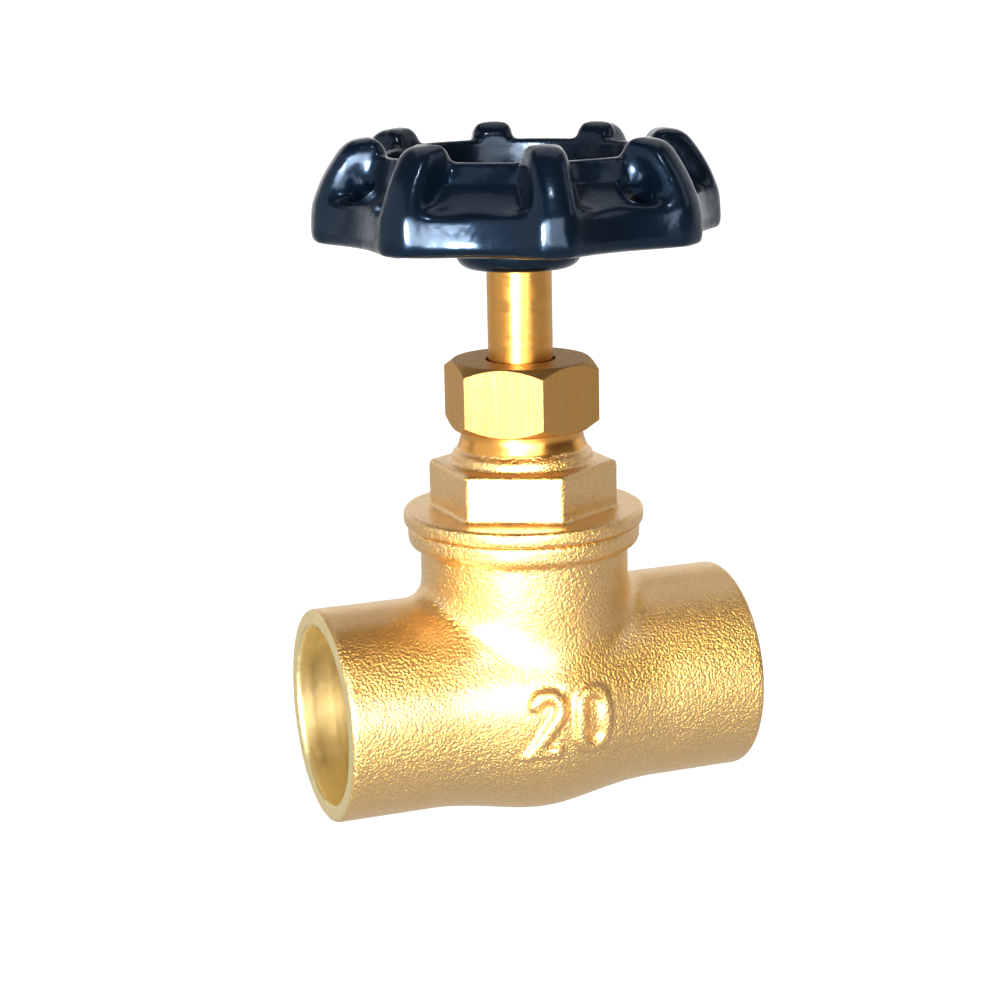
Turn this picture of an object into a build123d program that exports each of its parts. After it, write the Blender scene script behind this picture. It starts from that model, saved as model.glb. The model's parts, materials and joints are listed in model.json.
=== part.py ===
from build123d import *
import os
from math import cos, radians, sin, tan

# Small non-rising-stem gate valve with two solder sockets, in millimetres.
# X is the run (flow) axis, Z is the stem axis, and the origin is where they cross.
# The valve is drawn closed: the wedge stands on its seats.

os.makedirs("parts", exist_ok=True)

HEX_SIDES = 6
PICK = 0.01  # tolerance for picking edges by size or height

# Run and sockets
SOCKET_R = 11.17
SOCKET_DEPTH = 17.2
RUN_R = 13.25
RUN_LENGTH = 54.4
BELLY_R = 15.1
BELLY_HALF_LENGTH = 15.3
MOUTH_CHAMFER = 0.25
SOCKET_STOP = RUN_LENGTH / 2 - SOCKET_DEPTH

# Neck and collar of the body
NECK_R = 13.0
NECK_BLEND = 2.4
COLLAR_R = 14.5
COLLAR_BOTTOM = 19.4
COLLAR_TOP = 22.1
COLLAR_ROUND = 1.0

# Raised size number on the belly
MARK_HEIGHT = 8.4
MARK_WIDTH = 4.6
MARK_GAP = 1.5
MARK_STROKE = 1.15
MARK_RELIEF = 0.4
MARK_START_Y = 10.0
MARK_REACH = 8.0
MARK_ARC_START = 170.0
MARK_ARC_TURN = -200.0

# Seats, pocket and chamber for the wedge
PORT_R = 7.5
TAPER = 3.5
SEAT_X = 5.0
POCKET_R = 9.1
CHAMBER_R = 10.1
CHAMBER_BOTTOM = 12.7
GUIDE_WIDTH = 2.0
GUIDE_TIP_Y = 7.7
GUIDE_BOTTOM = 2.0
GUIDE_TOP = 17.5

# Bonnet thread (M24 x 1) and gasket
BONNET_THREAD_R = 12.0
BONNET_THREAD_BOTTOM = 18.3
THREAD_GAP = 0.05
GASKET_RECESS_R = 13.65
GASKET_INNER_R = 12.15
GASKET_THICKNESS = 0.6

# Bonnet outside
FLANGE_R = 15.0
FLANGE_TOP = 24.0
HEX_FLATS = 20.5
HEX_TOP = 29.9
HEX_TURN = -26.8
HEX_ROUND = 0.6
FLANGE_ROUND = 0.5
SHOULDER_ROUND = 0.9
THREAD_CHAMFER = 0.5
BONNET_SPIGOT_BOTTOM = 18.4
SHOULDER_R = 8.8
SHOULDER_TOP = 31.5
BONNET_NECK_R = 7.6
NECK_FLARE_R = 8.1
NECK_FLARE_TOP = 33.2
BONNET_NECK_TOP = 39.5

# Bonnet inside
DOME_R = 10.2
DOME_SPRING = 22.3
ROOF_R = 5.8
ROOF_Z = 27.9
STUFFING_BOX_R = 6.0
STUFFING_BOX_FLOOR = 30.5

# Stem
STEM_R = 4.0
RUNNING_GAP = 0.05
STEM_COLLAR_R = 5.8
STEM_COLLAR_BOTTOM = 31.05
STEM_COLLAR_TOP = 33.0
STEM_BOTTOM = 7.5
LEAD = 2.0
THREAD_CREST_R = 3.5
THREAD_ROOT_R = 2.6
THREAD_GAP_RADIAL = 0.15
THREAD_CREST_WIDTH = 0.75
THREAD_ROOT_WIDTH = 1.25
THREAD_OVERLAP = 0.1
THREAD_START = 0.8
THREAD_LENGTH = 9 * LEAD
DRIVE_TOP = 61.3
STUD_CHAMFER = 0.5
DRIVE_FLATS = 6.0
STUD_R = 2.5
STUD_TOP = 66.0

# Wedge
WEDGE_R = 8.5
SEAT_GAP = 0.04
BOSS_R = 5.3
BOSS_TOP = 11.7
GROOVE_WIDTH = 2.4
GROOVE_FLOOR_Y = 7.5
NUT_PHASE = -1.5 * LEAD
NUT_LENGTH = 3 * LEAD
NUT_CREST_WIDTH = 0.65
NUT_ROOT_WIDTH = 1.05

# Packing
WASHER_THICKNESS = 0.5
WASHER_R = 5.9
BASE_WASHER_TOP = 34.4
RING_THICKNESS = 1.15
RING_GAP = 0.02
RING_R = 5.97
GLAND_FLANGE_R = 7.0
GLAND_FLANGE_BOTTOM = 39.7

# Packing nut
NUT_FLATS = 17.1
NUT_BOTTOM_Z = 34.1
NUT_TOP = 42.6
NUT_TURN = -35.7
NUT_FACE_R = 8.44
NUT_CHAMFER = 38.0
NUT_CEILING = 40.6
NUT_HOLE_R = 4.35

# Handwheel
HUB_R = 7.7
HUB_BOTTOM = 54.0
HUB_TOP = 61.6
SKIRT_BOTTOM = 57.7
SKIRT_TOP = 62.9
POCKET_WALL_R = 21.9
SCALLOP_R = 16.2
SCALLOP_OUTER_R = 25.2
SHELF_BASE_R = 21.3
SHELF_TOP_R = 17.9
SHELF_TOP_Z = 65.5
LIP_R = 17.2
LIP_Z = 68.1
LIP_WIDTH = 1.2
BOWL_WALL_R = 15.4
BOWL_FLOOR_R = 13.4
BOWL_FLOOR_Z = 60.4
WEB_BOTTOM = 58.6
CAST_WALL = 1.7
FIN_COUNT = 8
FIN_START = 169.0
FIN_WIDTH = 5.0
FIN_TIP_R = 25.45
FIN_TOP = 70.25
FIN_OUTLINE = ((24.95, 62.2), (24.1, 65.1), (22.3, 67.9))
FIN_CREST_R = 18.4
FIN_BOTTOM_ROUND = 1.3
FIN_EDGE_ROUND = 1.3
FIN_SLOT_WIDTH = 2.2
FIN_WALL = 1.5
FIN_INNER_DROP = 1.5
FIN_INNER_LEAN = 0.3
HUB_ROUND = 1.8
WINDOW_R = 1.6
WINDOW_OFFSET = 10.0
WINDOW_DEPTH = 3.0
DRIVE_GAP = 0.05

# Wheel fastening
PLATE_R = 6.4
PLATE_THICKNESS = 0.5
LOCK_WASHER_R = 4.5
LOCK_WASHER_THICKNESS = 0.8
LOCK_WASHER_SLIT = 0.9
WHEEL_NUT_FLATS = 8.0
WHEEL_NUT_HEIGHT = 2.9


def ring(name, inner_r, outer_r, bottom, height):
    """Write a plain washer or ring about the stem axis as its own node."""
    with BuildPart() as washer:
        with BuildSketch(Plane.XY.offset(bottom)):
            Circle(outer_r)
            Circle(inner_r, mode=Mode.SUBTRACT)
        extrude(amount=height)
    save(washer, name)


def save(builder, name):
    """Label a finished piece and write it as one STEP file."""
    builder.part.label = name
    export_step(builder.part, f"parts/{name}.step")


def heading(azimuth):
    """Turn an azimuth counted from -Y towards +X into the angle counted from +X towards +Y."""
    return azimuth - 90.0


def rims(builder, radius):
    """Circular edges of one radius, lowest first."""
    circles = builder.edges().filter_by(GeomType.CIRCLE)
    return circles.filter_by(lambda e: abs(e.radius - radius) < PICK).sort_by(Axis.Z)


def run_section(raised=0.0):
    """Half section of the run's outside: straight tubes with the belly swelling between them."""
    half = RUN_LENGTH / 2
    tube_r = RUN_R + raised
    with BuildSketch(Plane.XZ) as section:
        with BuildLine():
            Polyline((-half, tube_r), (-half, 0), (half, 0), (half, tube_r))
            Line((half, tube_r), (BELLY_HALF_LENGTH, tube_r))
            Spline(
                (BELLY_HALF_LENGTH, tube_r),
                (0, BELLY_R + raised),
                (-BELLY_HALF_LENGTH, tube_r),
                tangents=[(-1, 0), (-1, 0)],
            )
            Line((-BELLY_HALF_LENGTH, tube_r), (-half, tube_r))
        make_face()
    return section.sketch


def tapered_slab(half_thickness, bottom, top, half_width):
    """Block between two seat planes that lean outwards by TAPER, half_thickness from X = 0 at the axis."""
    low_x = half_thickness + bottom * tan(radians(TAPER))
    high_x = half_thickness + top * tan(radians(TAPER))
    with BuildPart() as slab:
        with BuildSketch(Plane.XZ):
            with BuildLine():
                Polyline((-low_x, bottom), (low_x, bottom), (high_x, top), (-high_x, top), close=True)
            make_face()
        extrude(amount=half_width, both=True)
    return slab.part


def helical_ridge(inner_r, outer_r, bottom, height, inner_width, outer_width):
    """Left-hand screw thread ridge of trapezoid section about the stem axis."""
    with BuildPart() as ridge:
        with BuildLine() as path:
            Helix(LEAD, height, inner_r, center=(0, 0, bottom), lefthand=True)
        with BuildSketch(Plane(origin=path.line @ 0, x_dir=(1, 0, 0), z_dir=path.line % 0)):
            with BuildLine():
                Polyline(
                    (0, -inner_width / 2),
                    (outer_r - inner_r, -outer_width / 2),
                    (outer_r - inner_r, outer_width / 2),
                    (0, inner_width / 2),
                    close=True,
                )
            make_face()
        sweep(is_frenet=True)
    return ridge.part


# --- body: one casting with sockets, pocket, seats, guides and bonnet thread ---

# A nominal-size number in plain block strokes, trimmed to a skin that stands MARK_RELIEF proud of the belly.
with BuildPart() as size_mark:
    with BuildSketch(Plane.XZ.offset(MARK_START_Y)):
        digit_x = (MARK_WIDTH + MARK_GAP) / 2
        bow_r = MARK_WIDTH / 2 - MARK_STROKE / 2
        top_z = MARK_HEIGHT / 2 - MARK_STROKE / 2
        with BuildLine():
            bow = CenterArc((-digit_x, top_z - bow_r), bow_r, MARK_ARC_START, MARK_ARC_TURN)
            Polyline(bow @ 1, (-digit_x - bow_r, -top_z), (-digit_x + bow_r, -top_z))
        trace(line_width=MARK_STROKE)
        with Locations((digit_x, 0)):
            SlotOverall(MARK_HEIGHT, MARK_WIDTH, rotation=90)
            SlotOverall(
                MARK_HEIGHT - 2 * MARK_STROKE, MARK_WIDTH - 2 * MARK_STROKE, rotation=90, mode=Mode.SUBTRACT
            )
    extrude(amount=MARK_REACH)
    revolve(run_section(MARK_RELIEF), axis=Axis.X, mode=Mode.INTERSECT)

# U-shaped pocket that the wedge closes into, between the two tapered seats.
with BuildPart() as pocket:
    with BuildSketch(Plane.YZ):
        Circle(POCKET_R)
        with Locations((0, CHAMBER_BOTTOM / 2)):
            Rectangle(2 * POCKET_R, CHAMBER_BOTTOM)
    extrude(amount=SOCKET_STOP, both=True)
    add(tapered_slab(SEAT_X, -POCKET_R, CHAMBER_BOTTOM, POCKET_R), mode=Mode.INTERSECT)

with BuildPart() as body:
    revolve(run_section(), axis=Axis.X)
    run_edges = body.edges()
    with BuildSketch(Plane.XY):
        Circle(NECK_R)
    extrude(amount=COLLAR_BOTTOM)
    joint_edges = body.edges() - run_edges
    fillet(joint_edges.filter_by(lambda e: e.bounding_box().max.Z < COLLAR_BOTTOM - PICK), radius=NECK_BLEND)
    with BuildSketch(Plane.XY.offset(COLLAR_BOTTOM)):
        Circle(COLLAR_R)
    extrude(amount=COLLAR_TOP - COLLAR_BOTTOM)
    fillet(rims(body, COLLAR_R)[0], radius=COLLAR_ROUND)
    add(size_mark)
    # sockets and port
    for side in (-1, 1):
        with BuildSketch(Plane(origin=(side * SOCKET_STOP, 0, 0), z_dir=(side, 0, 0))):
            Circle(SOCKET_R)
        extrude(amount=SOCKET_DEPTH, mode=Mode.SUBTRACT)
    chamfer(body.edges().group_by(Axis.X)[0] + body.edges().group_by(Axis.X)[-1], length=MOUTH_CHAMFER)
    with BuildSketch(Plane.YZ):
        Circle(PORT_R)
    extrude(amount=SOCKET_STOP, both=True, mode=Mode.SUBTRACT)
    # wedge pocket, round chamber, bonnet thread and gasket recess
    add(pocket, mode=Mode.SUBTRACT)
    with BuildSketch(Plane.XY.offset(CHAMBER_BOTTOM)):
        Circle(CHAMBER_R)
    extrude(amount=COLLAR_TOP - CHAMBER_BOTTOM, mode=Mode.SUBTRACT)
    with BuildSketch(Plane.XY.offset(BONNET_THREAD_BOTTOM)):
        Circle(BONNET_THREAD_R)
    extrude(amount=COLLAR_TOP - BONNET_THREAD_BOTTOM, mode=Mode.SUBTRACT)
    with BuildSketch(Plane.XY.offset(COLLAR_TOP - GASKET_THICKNESS)):
        Circle(GASKET_RECESS_R)
    extrude(amount=GASKET_THICKNESS, mode=Mode.SUBTRACT)
    # two ribs that keep the wedge from turning
    rib_depth = CHAMBER_R + RUNNING_GAP - GUIDE_TIP_Y
    with BuildSketch(Plane.XY.offset(GUIDE_BOTTOM)):
        with Locations((0, GUIDE_TIP_Y + rib_depth / 2), (0, -GUIDE_TIP_Y - rib_depth / 2)):
            Rectangle(GUIDE_WIDTH, rib_depth)
    extrude(amount=GUIDE_TOP - GUIDE_BOTTOM)
save(body, "body")

# --- bonnet: flange and hexagon outside, dome and stuffing box inside ---

with BuildPart() as bonnet:
    with BuildSketch(Plane.XY.offset(FLANGE_TOP)):
        face_turn = heading(HEX_TURN) + 180 / HEX_SIDES
        RegularPolygon(HEX_FLATS / 2, HEX_SIDES, major_radius=False, rotation=face_turn)
    extrude(amount=HEX_TOP - FLANGE_TOP)
    hex_edges = bonnet.edges().filter_by(Axis.Z) + bonnet.edges().group_by(Axis.Z)[-1]
    fillet(hex_edges, radius=HEX_ROUND)
    with BuildSketch(Plane.XY.offset(BONNET_SPIGOT_BOTTOM)):
        Circle(BONNET_THREAD_R - THREAD_GAP)
    extrude(amount=FLANGE_TOP - BONNET_SPIGOT_BOTTOM)
    with BuildSketch(Plane.XY.offset(COLLAR_TOP)):
        Circle(FLANGE_R)
    extrude(amount=FLANGE_TOP - COLLAR_TOP)
    fillet(rims(bonnet, FLANGE_R), radius=FLANGE_ROUND)
    with BuildSketch(Plane.XY.offset(HEX_TOP)):
        Circle(SHOULDER_R)
    extrude(amount=SHOULDER_TOP - HEX_TOP)
    fillet(rims(bonnet, SHOULDER_R)[-1], radius=SHOULDER_ROUND)
    with BuildSketch(Plane.XZ):
        with BuildLine():
            Polyline(
                (0, SHOULDER_TOP),
                (NECK_FLARE_R, SHOULDER_TOP),
                (BONNET_NECK_R, NECK_FLARE_TOP),
                (BONNET_NECK_R, BONNET_NECK_TOP - THREAD_CHAMFER),
                (BONNET_NECK_R - THREAD_CHAMFER, BONNET_NECK_TOP),
                (0, BONNET_NECK_TOP),
                close=True,
            )
        make_face()
    revolve(axis=Axis.Z)
    with BuildSketch(Plane.XZ):
        with BuildLine():
            Polyline(
                (0, BONNET_SPIGOT_BOTTOM),
                (DOME_R, BONNET_SPIGOT_BOTTOM),
                (DOME_R, DOME_SPRING),
                (ROOF_R, ROOF_Z),
                (STEM_R + RUNNING_GAP, ROOF_Z),
                (STEM_R + RUNNING_GAP, STUFFING_BOX_FLOOR),
                (STUFFING_BOX_R, STUFFING_BOX_FLOOR),
                (STUFFING_BOX_R, BONNET_NECK_TOP),
                (0, BONNET_NECK_TOP),
                close=True,
            )
        make_face()
    revolve(axis=Axis.Z, mode=Mode.SUBTRACT)
save(bonnet, "bonnet")

gasket_bottom = COLLAR_TOP - GASKET_THICKNESS
ring("bonnet_gasket", GASKET_INNER_R, GASKET_RECESS_R - RUNNING_GAP, gasket_bottom, GASKET_THICKNESS)

# --- stem: turned rod with a left-hand screw below, a thrust collar, a square drive and a stud ---

with BuildPart() as stem:
    with BuildSketch(Plane.XZ):
        with BuildLine():
            Polyline(
                (0, STEM_BOTTOM),
                (THREAD_ROOT_R, STEM_BOTTOM),
                (THREAD_ROOT_R, ROOF_Z),
                (STEM_R, ROOF_Z),
                (STEM_R, STEM_COLLAR_BOTTOM),
                (STEM_COLLAR_R, STEM_COLLAR_BOTTOM),
                (STEM_COLLAR_R, STEM_COLLAR_TOP),
                (STEM_R, STEM_COLLAR_TOP),
                (STEM_R, DRIVE_TOP),
                (STUD_R, DRIVE_TOP),
                (STUD_R, STUD_TOP),
                (0, STUD_TOP),
                close=True,
            )
        make_face()
    revolve(axis=Axis.Z)
    # square drive for the handwheel
    with BuildSketch(Plane.XY.offset(HUB_BOTTOM)):
        Circle(STEM_R)
        Rectangle(DRIVE_FLATS, DRIVE_FLATS, mode=Mode.SUBTRACT)
    extrude(amount=DRIVE_TOP - HUB_BOTTOM, mode=Mode.SUBTRACT)
    chamfer(stem.edges().group_by(Axis.Z)[-1], length=STUD_CHAMFER)
    add(helical_ridge(
        THREAD_ROOT_R - THREAD_OVERLAP,
        THREAD_CREST_R,
        STEM_BOTTOM + THREAD_START,
        THREAD_LENGTH,
        THREAD_ROOT_WIDTH,
        THREAD_CREST_WIDTH,
    ))
save(stem, "stem")

# --- wedge: tapered disc with a screwed boss and two guide grooves ---

with BuildPart() as wedge:
    with BuildSketch(Plane.YZ):
        Circle(WEDGE_R)
    extrude(amount=WEDGE_R, both=True)
    add(tapered_slab(SEAT_X - SEAT_GAP, -WEDGE_R, WEDGE_R, WEDGE_R), mode=Mode.INTERSECT)
    with BuildSketch(Plane.XY):
        Circle(BOSS_R)
    extrude(amount=BOSS_TOP)
    add(tapered_slab(SEAT_X - SEAT_GAP, -WEDGE_R, BOSS_TOP, WEDGE_R), mode=Mode.INTERSECT)
    with BuildSketch(Plane.XY.offset(-WEDGE_R)):
        Circle(THREAD_CREST_R + THREAD_GAP_RADIAL)
    extrude(amount=WEDGE_R + BOSS_TOP, mode=Mode.SUBTRACT)
    groove_depth = WEDGE_R - GROOVE_FLOOR_Y
    with BuildSketch(Plane.XY.offset(-WEDGE_R)):
        with Locations((0, GROOVE_FLOOR_Y + groove_depth), (0, -GROOVE_FLOOR_Y - groove_depth)):
            Rectangle(GROOVE_WIDTH, 2 * groove_depth)
    extrude(amount=2 * WEDGE_R, mode=Mode.SUBTRACT)
    add(helical_ridge(
        THREAD_CREST_R + THREAD_GAP_RADIAL + THREAD_OVERLAP,
        THREAD_ROOT_R + THREAD_GAP_RADIAL,
        STEM_BOTTOM + THREAD_START + NUT_PHASE,
        NUT_LENGTH,
        NUT_ROOT_WIDTH,
        NUT_CREST_WIDTH,
    ))
save(wedge, "wedge")

# --- thrust washers, packing and gland in the stuffing box ---

bore_r = STEM_R + RUNNING_GAP
ring("thrust_washer_lower", bore_r, WASHER_R, STUFFING_BOX_FLOOR, WASHER_THICKNESS)
upper_washer_bottom = STEM_COLLAR_TOP + RUNNING_GAP
upper_washer_top = upper_washer_bottom + WASHER_THICKNESS
ring("thrust_washer_upper", bore_r, WASHER_R, upper_washer_bottom, WASHER_THICKNESS)
ring("packing_base_washer", bore_r, WASHER_R, upper_washer_top, BASE_WASHER_TOP - upper_washer_top)
for position, place in enumerate(("lower", "middle", "upper")):
    ring_bottom = BASE_WASHER_TOP + position * (RING_THICKNESS + RING_GAP)
    ring(f"packing_ring_{place}", bore_r, RING_R, ring_bottom, RING_THICKNESS)
gland_bottom = ring_bottom + RING_THICKNESS + RING_GAP

with BuildPart() as packing_gland:
    with BuildSketch(Plane.XY.offset(gland_bottom)):
        Circle(WASHER_R)
        Circle(bore_r, mode=Mode.SUBTRACT)
    extrude(amount=NUT_CEILING - gland_bottom)
    with BuildSketch(Plane.XY.offset(GLAND_FLANGE_BOTTOM)):
        Circle(GLAND_FLANGE_R)
        Circle(bore_r, mode=Mode.SUBTRACT)
    extrude(amount=NUT_CEILING - GLAND_FLANGE_BOTTOM)
save(packing_gland, "packing_gland")

# --- packing nut: hexagon turned off at both ends, screwed over the bonnet neck ---

with BuildPart() as packing_nut:
    with BuildSketch(Plane.XY.offset(NUT_BOTTOM_Z)):
        face_turn = heading(NUT_TURN) + 180 / HEX_SIDES
        RegularPolygon(NUT_FLATS / 2, HEX_SIDES, major_radius=False, rotation=face_turn)
    extrude(amount=NUT_TOP - NUT_BOTTOM_Z)
    corner_r = NUT_FLATS / 2 / cos(radians(180 / HEX_SIDES))
    turn_off = (corner_r - NUT_FACE_R) * tan(radians(NUT_CHAMFER))
    with BuildSketch(Plane.XZ):
        with BuildLine():
            Polyline(
                (0, NUT_BOTTOM_Z),
                (NUT_FACE_R, NUT_BOTTOM_Z),
                (corner_r, NUT_BOTTOM_Z + turn_off),
                (corner_r, NUT_TOP - turn_off),
                (NUT_FACE_R, NUT_TOP),
                (0, NUT_TOP),
                close=True,
            )
        make_face()
    revolve(axis=Axis.Z, mode=Mode.INTERSECT)
    with BuildSketch(Plane.XY.offset(NUT_BOTTOM_Z)):
        Circle(BONNET_NECK_R + THREAD_GAP)
    extrude(amount=NUT_CEILING - NUT_BOTTOM_Z, mode=Mode.SUBTRACT)
    with BuildSketch(Plane.XY.offset(NUT_CEILING)):
        Circle(NUT_HOLE_R)
    extrude(amount=NUT_TOP - NUT_CEILING, mode=Mode.SUBTRACT)
save(packing_nut, "packing_nut")

# --- handwheel: bowl, scalloped skirt and eight hollow finger lobes ---


def fin_solid(inset, width):
    """One finger lobe on the XZ plane, standing on the skirt's bottom and inset on its other sides."""
    foot = (FIN_TIP_R - inset, SKIRT_BOTTOM)
    crest = (FIN_CREST_R, FIN_TOP - inset)
    inner_end = (BOWL_WALL_R + inset, LIP_Z - FIN_INNER_DROP - inset)
    with BuildPart() as lobe:
        with BuildSketch(Plane.XZ):
            with BuildLine():
                Polyline(inner_end, (BOWL_WALL_R + inset, SKIRT_BOTTOM), foot)
                Spline(
                    foot,
                    *[(radius - inset, height - inset / 2) for radius, height in FIN_OUTLINE],
                    crest,
                    tangents=[(0, 1), (-1, 0)],
                )
                Spline(crest, inner_end, tangents=[(-1, 0), (-FIN_INNER_LEAN, -1)])
            make_face()
        extrude(amount=width / 2, both=True)
    return lobe.part


with BuildPart() as fin:
    add(fin_solid(0, FIN_WIDTH))
    foot_edge = fin.edges().filter_by(Axis.Y).group_by(Axis.Z)[0].sort_by(Axis.X)[-1]
    fillet(foot_edge, radius=FIN_BOTTOM_ROUND)
    above_foot = fin.edges().filter_by(Axis.Y, reverse=True).filter_by(lambda e: e.center().X > BOWL_WALL_R)
    fillet(above_foot.filter_by(lambda e: e.center().Z > SKIRT_BOTTOM), radius=FIN_EDGE_ROUND)

with BuildPart() as handwheel:
    # skirt, reaching out towards each lobe
    with BuildSketch(Plane.XY.offset(SKIRT_BOTTOM)):
        Circle(SCALLOP_OUTER_R)
        first_pocket = heading(FIN_START) + 180 / FIN_COUNT
        with PolarLocations(POCKET_WALL_R + SCALLOP_R, FIN_COUNT, start_angle=first_pocket):
            Circle(SCALLOP_R, mode=Mode.SUBTRACT)
    extrude(amount=SKIRT_TOP - SKIRT_BOTTOM)
    # shelf, crown wall and lip
    with BuildSketch(Plane.XZ):
        with BuildLine():
            Polyline(
                (0, SKIRT_TOP),
                (SHELF_BASE_R, SKIRT_TOP),
                (SHELF_TOP_R, SHELF_TOP_Z),
                (LIP_R, LIP_Z),
                (0, LIP_Z),
                close=True,
            )
        make_face()
    revolve(axis=Axis.Z)
    with PolarLocations(0, FIN_COUNT, start_angle=heading(FIN_START)):
        add(fin)
    # open bowl
    with BuildSketch(Plane.XZ):
        with BuildLine():
            Polyline(
                (0, BOWL_FLOOR_Z),
                (BOWL_FLOOR_R, BOWL_FLOOR_Z),
                (BOWL_WALL_R, BOWL_FLOOR_Z + BOWL_WALL_R - BOWL_FLOOR_R),
                (LIP_R - LIP_WIDTH, LIP_Z),
                (LIP_R - LIP_WIDTH, FIN_TOP),
                (0, FIN_TOP),
                close=True,
            )
        make_face()
    revolve(axis=Axis.Z, mode=Mode.SUBTRACT)
    # underside: ring cavity below shelf and web, and a slot up into each lobe
    with BuildSketch(Plane.XZ):
        with BuildLine():
            Polyline(
                (0, SKIRT_BOTTOM),
                (SHELF_BASE_R - CAST_WALL, SKIRT_BOTTOM),
                (SHELF_BASE_R - CAST_WALL, SKIRT_TOP - CAST_WALL),
                (SHELF_TOP_R - CAST_WALL + LIP_WIDTH, SHELF_TOP_Z - CAST_WALL),
                (BOWL_WALL_R + CAST_WALL, SHELF_TOP_Z - CAST_WALL),
                (BOWL_WALL_R + CAST_WALL, WEB_BOTTOM + CAST_WALL),
                (BOWL_WALL_R, WEB_BOTTOM),
                (0, WEB_BOTTOM),
                close=True,
            )
        make_face()
    revolve(axis=Axis.Z, mode=Mode.SUBTRACT)
    with PolarLocations(0, FIN_COUNT, start_angle=heading(FIN_START)):
        add(fin_solid(FIN_WALL, FIN_SLOT_WIDTH), mode=Mode.SUBTRACT)
    # a round window in every other pocket, close to one lobe, square through the shelf into the cavity
    for pair in range(FIN_COUNT // 2):
        lobe_spacing = 360 / FIN_COUNT
        beside_lobe = WINDOW_OFFSET if pair % 2 else lobe_spacing - WINDOW_OFFSET
        angle = radians(heading(FIN_START + 2 * pair * lobe_spacing + beside_lobe))
        outward = Vector(cos(angle), sin(angle), 0)
        shelf_height = (SKIRT_TOP + SHELF_TOP_Z) / 2
        shelf_middle = outward * (SHELF_BASE_R + SHELF_TOP_R) / 2 + Vector(0, 0, shelf_height)
        shelf_normal = outward * (SHELF_TOP_Z - SKIRT_TOP) + Vector(0, 0, SHELF_BASE_R - SHELF_TOP_R)
        with BuildSketch(Plane(origin=shelf_middle, z_dir=shelf_normal)):
            Circle(WINDOW_R)
        extrude(amount=WINDOW_DEPTH, both=True, mode=Mode.SUBTRACT)
    # hub with its square hole
    with BuildSketch(Plane.XY.offset(HUB_BOTTOM)):
        Circle(HUB_R)
    extrude(amount=HUB_TOP - HUB_BOTTOM)
    fillet(rims(handwheel, HUB_R)[0], radius=HUB_ROUND)
    with BuildSketch(Plane.XY.offset(HUB_BOTTOM)):
        Rectangle(DRIVE_FLATS + 2 * DRIVE_GAP, DRIVE_FLATS + 2 * DRIVE_GAP)
    extrude(amount=HUB_TOP - HUB_BOTTOM, mode=Mode.SUBTRACT)
save(handwheel, "handwheel")

# --- wheel fastening: blank identification plate, split lock washer and hexagon nut ---

ring("identification_plate", STUD_R + DRIVE_GAP, PLATE_R, HUB_TOP, PLATE_THICKNESS)
lock_washer_bottom = HUB_TOP + PLATE_THICKNESS

with BuildPart() as wheel_lock_washer:
    with BuildSketch(Plane.XY.offset(lock_washer_bottom)):
        Circle(LOCK_WASHER_R)
        Circle(STUD_R + DRIVE_GAP, mode=Mode.SUBTRACT)
        with Locations((LOCK_WASHER_R, 0)):
            Rectangle(LOCK_WASHER_R, LOCK_WASHER_SLIT, mode=Mode.SUBTRACT)
    extrude(amount=LOCK_WASHER_THICKNESS)
save(wheel_lock_washer, "wheel_lock_washer")

with BuildPart() as handwheel_nut:
    with BuildSketch(Plane.XY.offset(lock_washer_bottom + LOCK_WASHER_THICKNESS)):
        RegularPolygon(WHEEL_NUT_FLATS / 2, HEX_SIDES, major_radius=False)
        Circle(STUD_R + DRIVE_GAP, mode=Mode.SUBTRACT)
    extrude(amount=WHEEL_NUT_HEIGHT)
save(handwheel_nut, "handwheel_nut")
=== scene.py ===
import json
import math

import bmesh
import bpy
import numpy as np
from mathutils import Matrix, Vector, noise

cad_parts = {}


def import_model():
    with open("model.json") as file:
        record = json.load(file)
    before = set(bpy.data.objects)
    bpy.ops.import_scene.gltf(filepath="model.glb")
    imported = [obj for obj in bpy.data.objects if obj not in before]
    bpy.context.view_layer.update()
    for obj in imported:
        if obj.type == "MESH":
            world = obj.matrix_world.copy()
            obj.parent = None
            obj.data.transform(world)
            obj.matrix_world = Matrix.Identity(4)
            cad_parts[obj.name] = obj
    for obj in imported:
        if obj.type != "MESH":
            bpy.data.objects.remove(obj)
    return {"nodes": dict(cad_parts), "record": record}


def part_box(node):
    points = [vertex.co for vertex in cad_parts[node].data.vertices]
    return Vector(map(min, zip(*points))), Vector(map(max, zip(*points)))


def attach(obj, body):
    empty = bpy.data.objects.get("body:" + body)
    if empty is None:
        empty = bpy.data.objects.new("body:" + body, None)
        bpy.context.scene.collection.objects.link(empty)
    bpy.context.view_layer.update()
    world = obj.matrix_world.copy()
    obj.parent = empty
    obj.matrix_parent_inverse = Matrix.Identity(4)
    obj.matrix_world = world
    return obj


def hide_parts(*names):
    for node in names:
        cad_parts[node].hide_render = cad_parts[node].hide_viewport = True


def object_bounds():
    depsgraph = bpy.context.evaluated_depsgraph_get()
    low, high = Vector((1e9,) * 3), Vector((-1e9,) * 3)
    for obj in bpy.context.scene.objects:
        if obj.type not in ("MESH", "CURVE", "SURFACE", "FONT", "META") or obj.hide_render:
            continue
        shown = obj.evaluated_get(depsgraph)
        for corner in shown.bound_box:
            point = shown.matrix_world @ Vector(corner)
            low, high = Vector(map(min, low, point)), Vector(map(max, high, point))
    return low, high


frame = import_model()
cad_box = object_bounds()
MM = 0.001
nodes = frame["nodes"]

# ---------------------------------------------------------------- sizes taken from the frame
body_high = np.array(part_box("body")[1])
wheel_high = np.array(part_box("handwheel")[1])
mounts = {mount["name"]: mount for mount in frame["record"]["mounts"]}
bore_r = mounts["outlet_socket"]["dims"]["r_mm"] * MM
half_run = body_high[0]
TINY = 1e-9  # keeps divisions by a radius away from zero


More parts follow.
